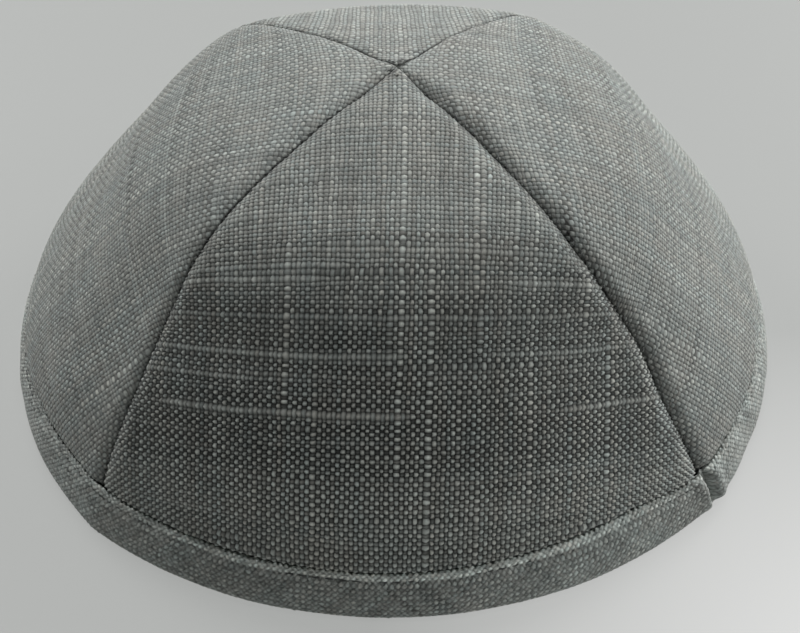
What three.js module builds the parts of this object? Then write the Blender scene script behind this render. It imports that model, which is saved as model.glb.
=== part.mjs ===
// A kippah of four cloth gores with a bound rim, resting on its rim.
// Millimetres, +Z up. The front gore faces -Y, +X is the wearer's view's right, and the origin is on the table
// under the middle of the rim. Azimuths are in degrees from the front, growing towards +X.
import * as THREE from "three";

// One row for each horizontal section, from the rim to the crown point. height and radius are those of the
// outer face in the middle of a gore, and squareness is 0 where the section is round and 1 where it is square.
const SECTIONS = [
  { height: 0.0, radius: 80.7, squareness: 0.06 },
  { height: 8.1, radius: 78.4, squareness: 0.05 },
  { height: 17.4, radius: 74.4, squareness: 0.035 },
  { height: 27.8, radius: 66.8, squareness: 0.05 },
  { height: 38.1, radius: 57.9, squareness: 0.11 },
  { height: 47.1, radius: 50.2, squareness: 0.16 },
  { height: 53.6, radius: 40.5, squareness: 0.2 },
  { height: 58.1, radius: 26.2, squareness: 0.24 },
  { height: 60.7, radius: 14.4, squareness: 0.28 },
  { height: 61.8, radius: 0.0, squareness: 0.32 },
];

// The four gores, going round from the front one. Each starts at its seam, which stands on its azimuth and
// drifts from it at the rim and at the crown. puff is how much the gore's middle stands out further than SECTIONS.
const GORES = [
  { name: "panel_front", azimuth: -45, rim_drift: 0.3, crown_drift: 0.5, puff: 0 },
  { name: "panel_right", azimuth: 45, rim_drift: 2.4, crown_drift: -6.0, puff: 1.0 },
  { name: "panel_back", azimuth: 135, rim_drift: 0.0, crown_drift: 7.0, puff: -1.7 },
  { name: "panel_left", azimuth: 225, rim_drift: -0.4, crown_drift: -1.5, puff: -0.1 },
];
const DRIFT = { rim_until: 26, crown_from: 30, crown_full: 56 };

// Soft dents and swellings of the outer face. depth is inwards, and width and tall are their half sizes.
const FOLDS = [
  { azimuth: -51, height: 30, width: 9, tall: 20, depth: 0.7 },
  { azimuth: -34, height: 17, width: 12, tall: 9, depth: 0.6 },
  { azimuth: 57, height: 36, width: 9, tall: 18, depth: -0.6 },
  { azimuth: 33, height: 22, width: 10, tall: 12, depth: 0.5 },
  { azimuth: 96, height: 34, width: 24, tall: 12, depth: -0.4 },
  { azimuth: 120, height: 51, width: 12, tall: 7, depth: -0.8 },
  { azimuth: -92, height: 30, width: 24, tall: 14, depth: -0.3 },
  { azimuth: -128, height: 54, width: 14, tall: 8, depth: -0.5 },
  { azimuth: 168, height: 19, width: 20, tall: 11, depth: 0.8 },
  { azimuth: -152, height: 26, width: 16, tall: 12, depth: 0.5 },
];

const CROWN_LEAN = new THREE.Vector2(1.6, 4.4); // how far the crown point stands off the rim's middle
const WALL = 1.6; // gore wall: cloth, stiffener and seam allowances
const SEAM_GAP = 0.36; // clear width between two gores
const SEAM_DIP = 0.8; // how far a gore's edge rolls in at its seam
const SEAM_ROLL = 3.2; // width of that roll
const TIP_RADIUS = 1.5; // where the gores' points end round the crown point

// The binding is folded round the raw rim. Its section is drawn as inset from the gore's outer face and height,
// round the outer leaf, into the channel that holds the gores, and down the inner leaf to the flat foot.
const BINDING_TOP = 9.4;
const BINDING_SECTION = [
  { inset: 1.15, height: 0.0 },
  { inset: 0.4, height: 0.3 },
  { inset: -0.1, height: 1.2 },
  { inset: -0.35, height: 3.2 },
  { inset: -0.4, height: 5.6 },
  { inset: -0.2, height: 7.9 },
  { inset: 0.2, height: 9.0 },
  { inset: 0.75, height: 9.4 },
  { inset: 1.15, height: 8.9 },
  { inset: 1.15, height: 2.3 },
  { inset: 3.0, height: 2.3 },
  { inset: 3.05, height: 9.0 },
  { inset: 3.5, height: 9.4 },
  { inset: 3.95, height: 8.9 },
  { inset: 4.0, height: 1.2 },
  { inset: 3.65, height: 0.3 },
  { inset: 3.0, height: 0.0 },
];

// How far the binding's upper edge stands above BINDING_TOP on the way round.
const BINDING_EDGE = [
  { azimuth: -112, above: 0.0 },
  { azimuth: -74, above: -1.3 },
  { azimuth: -60, above: -0.1 },
  { azimuth: 0, above: -0.2 },
  { azimuth: 33, above: 0.8 },
  { azimuth: 46, above: -0.9 },
  { azimuth: 60, above: 0.0 },
  { azimuth: 78, above: 1.4 },
  { azimuth: 115, above: 0.0 },
  { azimuth: 248, above: 0.0 },
];

// Where the binding's two ends are sewn together: a crease across it, and a lump of folded cloth on each side.
const JOIN = {
  azimuth: 47.2,
  creases: [
    { along: 0, width: 1.1, out: -1.1 },
    { along: -3, width: 2.5, out: 0.5 },
    { along: 7.5, width: 7, out: 1.2 },
  ],
};

// The gores' lower edge in the channel, and the step just above the binding where it comes out to the full wall.
const TONGUE = { foot: 3.2, outer: 1.45, inner: 2.5, below_top: 0.4, above_top: 0.2, step: 1.1 };

const ACROSS = 19; // columns of a gore
const EDGE_STEPS = [0, 0.7, 1.7, 3.2]; // the columns nearest a seam, by distance from it
const NARROW = 40; // a gore narrower than this has its seam rolls narrowed in proportion
const ROWS = 15; // rows of a gore above the binding
const ROUND = 84; // sections of the binding

const radians = THREE.MathUtils.degToRad;
const { clamp, euclideanModulo, lerp, smoothstep } = THREE.MathUtils;
const bell = (distance, width) => Math.exp(-((distance / width) ** 2));

// A column of SECTIONS at a level, which counts rows from the rim: a smooth curve through the rows.
function section(name, level) {
  const last = SECTIONS.length - 1;
  const row = clamp(Math.floor(level), 0, last - 1);
  const t = level - row;
  const [a, b, c, d] = [-1, 0, 1, 2].map((step) => SECTIONS[clamp(row + step, 0, last)][name]);
  return b + 0.5 * t * (c - a + t * (2 * a - 5 * b + 4 * c - d + t * (3 * (b - c) + d - a)));
}

// The level at which a column has a value, for height and radius, which run one way.
function levelWhere(name, value) {
  let [low, high] = [0, SECTIONS.length - 1];
  const rising = section(name, high) > section(name, low);
  for (let step = 0; step < 40; step += 1) {
    const middle = (low + high) / 2;
    if (section(name, middle) < value === rising) low = middle;
    else high = middle;
  }
  return (low + high) / 2;
}

// The outward normal of the wall in its own upright plane, as (outwards, up).
function slope(level) {
  const [low, high] = [level - 0.02, level + 0.02];
  const out = section("radius", high) - section("radius", low);
  const up = section("height", high) - section("height", low);
  return new THREE.Vector2(up, -out).normalize();
}

function seamAzimuth(index, height) {
  const turns = Math.floor(index / GORES.length);
  const seam = GORES[index - turns * GORES.length];
  const rim = seam.rim_drift * (1 - smoothstep(height, 0, DRIFT.rim_until));
  const crown = seam.crown_drift * smoothstep(height, DRIFT.crown_from, DRIFT.crown_full);
  return seam.azimuth + rim + crown + 360 * turns;
}

// The gore that an azimuth falls in at a height, and its share of the way from that gore's seam to the next.
function goreAt(azimuth, height) {
  const index = Math.floor(euclideanModulo(azimuth - seamAzimuth(0, height), 360) / 90 + 0.5);
  for (const near of [index - 1, index, index + 1]) {
    const [from, to] = [seamAzimuth(near, height), seamAzimuth(near + 1, height)];
    const share = euclideanModulo(azimuth - from, 360) / (to - from);
    if (share < 1) return { index: near, share };
  }
  return { index, share: 0 };
}

// The radius of the outer face, before its folds, at a share of the way across a gore.
function faceRadius(index, level, share) {
  const square = section("squareness", level);
  const bow = 1 - square + square / Math.cos(radians(90 * (share - 0.5)));
  const middle = Math.sin(Math.PI * share) * Math.sin((Math.PI * level) / (SECTIONS.length - 1));
  return section("radius", level) * bow + GORES[euclideanModulo(index, GORES.length)].puff * middle;
}

function fold(azimuth, height, radius) {
  let depth = 0;
  for (const f of FOLDS) {
    const turn = euclideanModulo(azimuth - f.azimuth + 180, 360) - 180;
    depth += f.depth * bell(radians(turn) * radius, f.width) * bell(height - f.height, f.tall);
  }
  return depth;
}

// A point of the gore between seams index and index + 1. share runs from 0 to 1 between them, and depth is
// measured inwards from the outer face.
function gorePoint(index, level, share, depth) {
  const height = section("height", level);
  const azimuth = lerp(seamAzimuth(index, height), seamAzimuth(index + 1, height), share);
  const radius = faceRadius(index, level, share);
  const normal = slope(level);
  const inwards = depth + fold(azimuth, height, radius);
  return place(azimuth, radius - inwards * normal.x, height - inwards * normal.y);
}

function place(azimuth, radius, height) {
  const lean = (height / SECTIONS.at(-1).height) ** 2;
  return new THREE.Vector3(
    radius * Math.sin(radians(azimuth)) + CROWN_LEAN.x * lean,
    -radius * Math.cos(radians(azimuth)) + CROWN_LEAN.y * lean,
    height,
  );
}

function fromJoin(azimuth) {
  return radians(euclideanModulo(azimuth - JOIN.azimuth + 180, 360) - 180) * SECTIONS[0].radius;
}

function bindingTop(azimuth) {
  const start = BINDING_EDGE[0].azimuth;
  const turn = start + euclideanModulo(azimuth - start, 360);
  const after = BINDING_EDGE.findIndex((row) => row.azimuth > turn);
  const from = BINDING_EDGE.at(after - 1 < 0 ? -1 : after - 1);
  const to = after < 0 ? { ...BINDING_EDGE[0], azimuth: start + 360 } : BINDING_EDGE[after];
  return BINDING_TOP + lerp(from.above, to.above, smoothstep(turn, from.azimuth, to.azimuth));
}

// One closed wall from two equal grids of points, each a list of rows.
function wall(outer, inner) {
  const rows = outer.length;
  const columns = outer[0].length;
  const points = [...outer.flat(), ...inner.flat()];
  const at = (side, row, column) => side * rows * columns + row * columns + column;
  const faces = [];
  const quad = (a, b, c, d) => faces.push(a, b, c, a, c, d);
  for (let r = 0; r + 1 < rows; r += 1) {
    for (let c = 0; c + 1 < columns; c += 1) {
      quad(at(0, r, c), at(0, r, c + 1), at(0, r + 1, c + 1), at(0, r + 1, c));
      quad(at(1, r, c), at(1, r + 1, c), at(1, r + 1, c + 1), at(1, r, c + 1));
    }
    quad(at(0, r, 0), at(0, r + 1, 0), at(1, r + 1, 0), at(1, r, 0));
    quad(at(0, r + 1, columns - 1), at(0, r, columns - 1), at(1, r, columns - 1), at(1, r + 1, columns - 1));
  }
  for (let c = 0; c + 1 < columns; c += 1) {
    quad(at(0, 0, c + 1), at(0, 0, c), at(1, 0, c), at(1, 0, c + 1));
    quad(at(0, rows - 1, c), at(0, rows - 1, c + 1), at(1, rows - 1, c + 1), at(1, rows - 1, c));
  }
  return solid(points, faces);
}

function solid(points, faces) {
  const geometry = new THREE.BufferGeometry().setFromPoints(points);
  geometry.setIndex(faces);
  geometry.computeVertexNormals();
  return geometry;
}

// Where the columns of a gore stand at a level, as distances from its left seam, each with its seam dip.
function goreColumns(width, inset) {
  const narrow = Math.min(1, width / NARROW);
  const edges = EDGE_STEPS.map((step) => inset + step * narrow);
  const first = edges.at(-1);
  const inside = ACROSS - 2 * edges.length;
  const columns = [...edges];
  for (let c = 1; c <= inside; c += 1) columns.push(lerp(first, width - first, c / (inside + 1)));
  columns.push(...edges.map((x) => width - x).reverse());
  const dip = (x) => SEAM_DIP * narrow * (1 - clamp(Math.min(x, width - x) / (SEAM_ROLL * narrow), 0, 1)) ** 2;
  return columns.map((x) => ({ share: x / width, dip: dip(x) }));
}

// The rows of a gore from its foot in the channel to its tip, with each one's depths at a column's azimuth.
function goreRows(azimuth) {
  const top = bindingTop(azimuth);
  const rows = [
    { height: TONGUE.foot, outer: TONGUE.outer, inner: TONGUE.inner },
    { height: top - TONGUE.below_top, outer: TONGUE.outer, inner: TONGUE.inner },
    { height: top + TONGUE.above_top, outer: TONGUE.outer, inner: TONGUE.inner },
    { height: top + TONGUE.above_top + TONGUE.step, outer: 0, inner: WALL },
  ].map((row) => ({ ...row, level: levelWhere("height", row.height) }));
  const first = rows.at(-1).level;
  const tip = levelWhere("radius", TIP_RADIUS);
  for (let r = 1; r <= ROWS; r += 1) rows.push({ level: lerp(first, tip, r / ROWS), outer: 0, inner: WALL });
  return rows;
}

function goreWidth(index, level, depth) {
  const height = section("height", level);
  const turn = radians(seamAzimuth(index + 1, height) - seamAzimuth(index, height));
  return turn * (section("radius", level) - depth * slope(level).x);
}

function gore(index) {
  const feet = goreColumns(goreWidth(index, 1, 0), SEAM_GAP / 2);
  const columns = feet.map(({ share }) => {
    return goreRows(lerp(seamAzimuth(index, BINDING_TOP), seamAzimuth(index + 1, BINDING_TOP), share));
  });
  const face = (name, dips) => {
    return columns[0].map((_, r) => {
      return columns.map((rows, c) => {
        const row = rows[r];
        const column = goreColumns(goreWidth(index, row.level, row[name]), SEAM_GAP / 2)[c];
        return gorePoint(index, row.level, column.share, row[name] + dips * column.dip);
      });
    });
  };
  return wall(face("outer", 1), face("inner", 0));
}

// The azimuths of the binding's sections: even, with more of them beside the join.
function bindingAzimuths() {
  const beside = [-6, -3, -1.8, -1.2, -0.6, 0, 0.6, 1.2, 1.8, 3, 6];
  const even = Array.from({ length: ROUND - beside.length }, (_, k) => k);
  const span = 360 - 18;
  return [
    ...beside.map((turn) => JOIN.azimuth + turn),
    ...even.map((k) => JOIN.azimuth + 9 + (span * k) / (even.length - 1)),
  ];
}

function bindingSection(azimuth) {
  const away = fromJoin(azimuth);
  const out = JOIN.creases.reduce((sum, c) => sum + c.out * bell(away - c.along, c.width), 0);
  return BINDING_SECTION.map((corner) => {
    const share = corner.height / BINDING_TOP;
    const height = corner.height + (bindingTop(azimuth) - BINDING_TOP) * share ** 2;
    const level = levelWhere("height", height);
    const gore = goreAt(azimuth, height);
    const radius = faceRadius(gore.index, level, gore.share);
    const depth = fold(azimuth, height, radius) * slope(level).x;
    const outside = clamp((TONGUE.outer - 0.3 - corner.inset) / TONGUE.outer, 0, 1);
    return place(azimuth, radius - depth - corner.inset + out * outside, height);
  });
}

function binding() {
  const rings = bindingAzimuths().map(bindingSection);
  const around = BINDING_SECTION.length;
  const faces = [];
  rings.forEach((_, ring) => {
    const next = (ring + 1) % rings.length;
    for (let p = 0; p < around; p += 1) {
      const q = (p + 1) % around;
      const [a, b, c, d] = [ring * around + p, next * around + p, next * around + q, ring * around + q];
      faces.push(a, b, c, a, c, d);
    }
  });
  return solid(rings.flat(), faces);
}

function cloth(name, geometry, color) {
  const material = new THREE.MeshStandardMaterial({ color, roughness: 0.9, metalness: 0 });
  const mesh = new THREE.Mesh(geometry, material);
  mesh.name = name;
  return mesh;
}

const kippah = new THREE.Group();
GORES.forEach(({ name }, index) => kippah.add(cloth(name, gore(index), 0x6c736f)));
kippah.add(cloth("rim_binding", binding(), 0x666e6a));

export default kippah;
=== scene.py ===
import logging
import math
from collections.abc import Sequence
from dataclasses import dataclass
from enum import Enum

import bpy
import numpy as np
from mathutils import Matrix, Vector


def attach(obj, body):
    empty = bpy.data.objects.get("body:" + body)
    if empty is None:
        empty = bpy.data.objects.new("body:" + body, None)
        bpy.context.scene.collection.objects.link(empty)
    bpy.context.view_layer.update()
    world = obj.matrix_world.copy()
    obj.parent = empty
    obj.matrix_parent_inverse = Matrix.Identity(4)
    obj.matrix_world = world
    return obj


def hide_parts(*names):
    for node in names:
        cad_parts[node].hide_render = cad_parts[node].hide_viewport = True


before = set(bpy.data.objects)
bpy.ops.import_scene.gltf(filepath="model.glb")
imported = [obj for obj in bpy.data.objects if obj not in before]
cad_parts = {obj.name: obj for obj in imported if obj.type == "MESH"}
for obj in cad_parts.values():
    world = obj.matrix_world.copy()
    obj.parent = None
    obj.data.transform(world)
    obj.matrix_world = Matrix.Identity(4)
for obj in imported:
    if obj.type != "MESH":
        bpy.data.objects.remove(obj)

log = logging.getLogger("kippah")

MM = 0.001
YARN_MAP = "yarns"
YARN_ATTRIBUTE = "yarn"
Array = np.ndarray
Colour = tuple[float, float, float]


@dataclass(frozen=True)
class Section:
    """A level section of the dome's outer face, taken in the middle of a gore."""

    height: float
    radius: float
    squareness: float


SECTIONS = (
    Section(0.0, 80.7, 0.06),
    Section(8.1, 78.4, 0.05),
    Section(17.4, 74.4, 0.035),
    Section(27.8, 66.8, 0.05),
    Section(38.1, 57.9, 0.11),
    Section(47.1, 50.2, 0.16),
    Section(53.6, 40.5, 0.2),
    Section(58.1, 26.2, 0.24),
    Section(60.7, 14.4, 0.28),
    Section(61.8, 0.0, 0.32),
)


@dataclass(frozen=True)
class Seam:
    """The seam that a gore starts at, how it drifts from its azimuth, and how far that gore puffs out."""

    azimuth: float
    rim_drift: float
    crown_drift: float
    puff: float


SEAMS = (
    Seam(-45, 0.3, 0.5, 0.0),
    Seam(45, 2.4, -6.0, 1.0),
    Seam(135, 0.0, 7.0, -1.7),
    Seam(225, -0.4, -1.5, -0.1),
)
RIM_DRIFT_UNTIL = 26.0
CROWN_DRIFT_FROM = 30.0
CROWN_DRIFT_FULL = 56.0
CROWN_LEAN = (1.6, 4.4)


@dataclass(frozen=True)
class Fold:
    """A soft dent, or with a negative depth a swelling, of the dome."""

    azimuth: float
    height: float
    width: float
    tall: float
    depth: float


FOLDS = (
    Fold(-51, 30, 9, 20, 0.7),
    Fold(-34, 17, 12, 9, 0.6),
    Fold(57, 36, 9, 18, -0.6),
    Fold(33, 22, 10, 12, 0.5),
    Fold(96, 34, 24, 12, -0.4),
    Fold(120, 51, 12, 7, -0.8),
    Fold(-92, 30, 24, 14, -0.3),
    Fold(-128, 54, 14, 8, -0.5),
    Fold(168, 19, 20, 11, 0.8),
    Fold(-152, 26, 16, 12, 0.5),
)


@dataclass(frozen=True)
class EdgeStation:
    """How far the binding's upper edge stands above its usual height at an azimuth."""

    azimuth: float
    above: float


BINDING_TOP = 9.4
BINDING_EDGE = (
    EdgeStation(-112, 0.0),
    EdgeStation(-74, -1.3),
    EdgeStation(-60, -0.1),
    EdgeStation(0, -0.2),
    EdgeStation(33, 0.8),
    EdgeStation(46, -0.9),
    EdgeStation(60, 0.0),
    EdgeStation(78, 1.4),
    EdgeStation(115, 0.0),
)
JOIN_AZIMUTH = 47.2


def smooth(value: Array, low: float, high: float) -> Array:
    """Ease from 0 at low to 1 at high."""
    t = np.clip((value - low) / (high - low), 0.0, 1.0)
    return t * t * (3.0 - 2.0 * t)


def bell(distance: Array, width: float) -> Array:
    """A bump of height 1 that falls off over a width."""
    return np.exp(-((distance / width) ** 2))


def turn_between(azimuth: Array, other: float) -> Array:
    """The turn from one azimuth to another, from -180 to 180 degrees."""
    return (azimuth - other + 180.0) % 360.0 - 180.0


def curve_through(values: Sequence[float], place: Array) -> Array:
    """Read a smooth curve through evenly numbered values.

    Args:
        values: the values at places 0, 1, 2 and so on.
        place: where to read the curve.

    Returns:
        The curve's value at each place.
    """
    table = np.asarray(values, float)
    last = len(table) - 1
    row = np.clip(np.floor(place).astype(int), 0, last - 1)
    t = place - row
    a, b, c, d = (table[np.clip(row + step, 0, last)] for step in (-1, 0, 1, 2))
    return b + 0.5 * t * (c - a + t * (2 * a - 5 * b + 4 * c - d + t * (3 * (b - c) + d - a)))


def between_knots(knots: Array, place: Array) -> Array:
    """Read the straight lines between evenly numbered knots."""
    low = place.astype(int)
    share = place - low
    return knots[..., low] * (1 - share) + knots[..., low + 1] * share


def running_total(steps: Array) -> Array:
    """The sum of the steps before each place, from 0."""
    return np.concatenate([[0], np.cumsum(steps)])


def lengths_along(line: Array) -> Array:
    """The length from a line's start to each of its points."""
    return running_total(np.linalg.norm(np.diff(line, axis=0), axis=1))


def direction(azimuth: float, elevation: float) -> Vector:
    """The way to look towards an azimuth, counted from the front to the right, and an elevation."""
    turn, rise = math.radians(azimuth), math.radians(elevation)
    return Vector((math.sin(turn) * math.cos(rise), -math.cos(turn) * math.cos(rise), math.sin(rise)))


class Dome:
    """The kippah's outer face as a surface of levels, from 0 at the rim to the crown, and azimuths."""

    SAMPLES = 1801
    WIDEST_TURN = 1.2
    LEAST_RADIUS = 0.05
    ROUNDS = 5

    def __init__(self) -> None:
        """Sample the sections' smooth curves."""
        self.crown = len(SECTIONS) - 1
        self.levels = np.linspace(0, self.crown, self.SAMPLES)
        self.heights = curve_through([s.height for s in SECTIONS], self.levels)
        self.radii = curve_through([s.radius for s in SECTIONS], self.levels)
        self.squarenesses = curve_through([s.squareness for s in SECTIONS], self.levels)
        out, up = np.gradient(self.radii), np.gradient(self.heights)
        self.normal_out, self.normal_up = up / np.hypot(out, up), -out / np.hypot(out, up)

    def read(self, table: Array, level: Array) -> Array:
        """Read one of the sampled tables at a level."""
        return np.interp(level, self.levels, table)

    def level_at(self, height: Array) -> Array:
        """The level at a height."""
        return np.interp(height, self.heights, self.levels)

    def seam_azimuth(self, index: int, height: Array) -> Array:
        """The azimuth of a seam at a height, counting seams on past a full turn."""
        seam = SEAMS[index % len(SEAMS)]
        rim = seam.rim_drift * (1 - smooth(height, 0, RIM_DRIFT_UNTIL))
        crown = seam.crown_drift * smooth(height, CROWN_DRIFT_FROM, CROWN_DRIFT_FULL)
        return seam.azimuth + rim + crown + 360 * (index // len(SEAMS))

    def arc(self, level: Array, turn: Array) -> Array:
        """The length along a level from a gore's middle to a turn, in radians, away from it."""
        square = self.read(self.squarenesses, level)
        return self.read(self.radii, level) * ((1 - square) * turn + square * np.tan(turn))

    def turn_at(self, level: Array, arc: Array) -> Array:
        """The turn, in radians, at a length along a level from a gore's middle."""
        square = self.read(self.squarenesses, level)
        goal = arc / np.maximum(self.read(self.radii, level), self.LEAST_RADIUS)
        turn = np.clip(goal, -self.WIDEST_TURN, self.WIDEST_TURN)
        for _ in range(self.ROUNDS):
            miss = (1 - square) * turn + square * np.tan(turn) - goal
            turn = turn - miss / (1 - square + square / np.cos(turn) ** 2)
            turn = np.clip(turn, -self.WIDEST_TURN, self.WIDEST_TURN)
        return turn

    def fold_depth(self, azimuth: Array, height: Array, radius: Array) -> Array:
        """How deep the soft dents are at a place."""
        depth = np.zeros_like(height)
        for f in FOLDS:
            along = np.radians(turn_between(azimuth, f.azimuth)) * radius
            depth += f.depth * bell(along, f.width) * bell(height - f.height, f.tall)
        return depth

    def face_radius(self, index: int, azimuth: Array, level: Array) -> Array:
        """The outer face's radius in a gore, before its dents."""
        height = self.read(self.heights, level)
        start, end = self.seam_azimuth(index, height), self.seam_azimuth(index + 1, height)
        share = np.clip((azimuth - start) / (end - start), -0.02, 1.02)
        square = self.read(self.squarenesses, level)
        bow = 1 - square + square / np.cos(np.radians(90 * (share - 0.5)))
        middle = np.sin(np.pi * np.clip(share, 0, 1)) * np.sin(np.pi * level / self.crown)
        return self.read(self.radii, level) * bow + SEAMS[index % len(SEAMS)].puff * middle

    def point(self, index: int, azimuth: Array, level: Array, depth: Array) -> Array:
        """A point of the cloth.

        Args:
            index: the gore.
            azimuth: degrees from the front.
            level: the level of the outer face's point that it is measured from.
            depth: millimetres inwards from the outer face.

        Returns:
            Points in millimetres, one row each.
        """
        radius = self.face_radius(index, azimuth, level)
        height = self.read(self.heights, level)
        inwards = depth + self.fold_depth(azimuth, height, radius)
        radius = radius - inwards * self.read(self.normal_out, level)
        return self.place(azimuth, radius, height - inwards * self.read(self.normal_up, level))

    def place(self, azimuth: Array, radius: Array, height: Array) -> Array:
        """The point at an azimuth, radius and height, with the crown's lean."""
        lean = (height / SECTIONS[-1].height) ** 2
        turn = np.radians(azimuth)
        x = radius * np.sin(turn) + CROWN_LEAN[0] * lean
        y = -radius * np.cos(turn) + CROWN_LEAN[1] * lean
        return np.stack([x, y, height + 0 * azimuth], -1)

    def gore_of(self, azimuth: Array, height: Array) -> Array:
        """Which gore each place falls in."""
        found = np.zeros(np.shape(azimuth), int)
        for index in range(len(SEAMS)):
            start = self.seam_azimuth(index, height)
            width = self.seam_azimuth(index + 1, height) - start
            found = np.where((azimuth - start) % 360 < width, index, found)
        return found

    def rim_point(self, azimuth: Array, inset: Array, height: Array) -> Array:
        """A point of the binding, by how far it is set in from the gores' outer face."""
        gore = self.gore_of(azimuth, height)
        level = self.level_at(height)
        points = np.zeros((len(azimuth), 3))
        for index in range(len(SEAMS)):
            here = gore == index
            start = self.seam_azimuth(index, height[here])
            turned = start + (azimuth[here] - start) % 360
            radius = self.face_radius(index, turned, level[here])
            dent = self.fold_depth(turned, height[here], radius) * self.read(self.normal_out, level[here])
            points[here] = self.place(turned, radius - dent - inset[here], height[here])
        return points


def binding_top(azimuth: Array) -> Array:
    """The height of the binding's upper edge."""
    first = BINDING_EDGE[0]
    stations = (*BINDING_EDGE, EdgeStation(first.azimuth + 360, first.above))
    turned = first.azimuth + (azimuth - first.azimuth) % 360
    top = np.full(np.shape(azimuth), BINDING_TOP)
    for a, b in zip(stations[:-1], stations[1:]):
        here = (turned >= a.azimuth) & (turned < b.azimuth)
        eased = a.above + (b.above - a.above) * smooth(turned, a.azimuth, b.azimuth)
        top = np.where(here, BINDING_TOP + eased, top)
    return top


class Run(Enum):
    """The two directions that yarns run in."""

    WARP = "warp"
    WEFT = "weft"


@dataclass(frozen=True)
class Slub:
    """A thick stretch of one yarn: where the yarn lies, and from where to where it is thick."""

    run: Run
    across: float
    start: float
    end: float
    swell: float
    tone: float


@dataclass(frozen=True)
class Weave:
    """A plain weave: its yarn pitches, and how high its surface stands at and between its crossings.

    The weft's pitch is given at lengths down the cloth, because the weaving's beat varies. Down to
    even_until the weft stands as high and light as the warp, and below that it sinks and the relief
    deepens; there the weft and the gaps between the yarns are painted darker, painted shade, and the
    warp's tops are painted lighter, a painted highlight (a negative gap_shade or warp_light paints the
    other way). The lowest cloth is painted lighter again, painted light.
    """

    warp_pitch: float = 0.88
    weft_pitches: tuple[tuple[float, float], ...] = ((20.0, 0.97), (55.0, 0.91), (90.0, 0.86))
    even_until: float = -40.0
    fading: float = 20.0
    warp_over: float = 0.18
    weft_over: float = 0.13
    weft_sink: float = 0.17
    weft_shade: float = 0.47
    warp_light: float = -0.08
    deepening: float = -0.5
    gap_shade: float = -0.2
    mottle: float = 0.035
    foot_light: float = 0.0
    foot: tuple[float, float] = (80.0, 93.0)
    between: float = -0.03
    hole: float = -0.24
    unevenness: float = 0.045
    widening: float = 0.75
    slub_chance: float = 0.2

    def columns(self, count: int) -> Array:
        """Where the half lines along the warp lie, evenly about the grain line."""
        return (np.arange(2 * count + 1) - count) * self.warp_pitch / 2

    def rows(self, start: float, end: float) -> Array:
        """Where the half lines along the weft lie, from a start down to an end."""
        places = [start]
        downs, pitches = zip(*self.weft_pitches)
        while places[-1] < end or len(places) % 2 == 0:
            places.append(places[-1] + float(np.interp(places[-1], downs, pitches)) / 2)
        return np.array(places)


@dataclass(frozen=True)
class Change:
    """How much yarns change slowly along themselves, over a spacing in half pitches, and one by one."""

    slow: float
    own: float
    spacing: int


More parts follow.
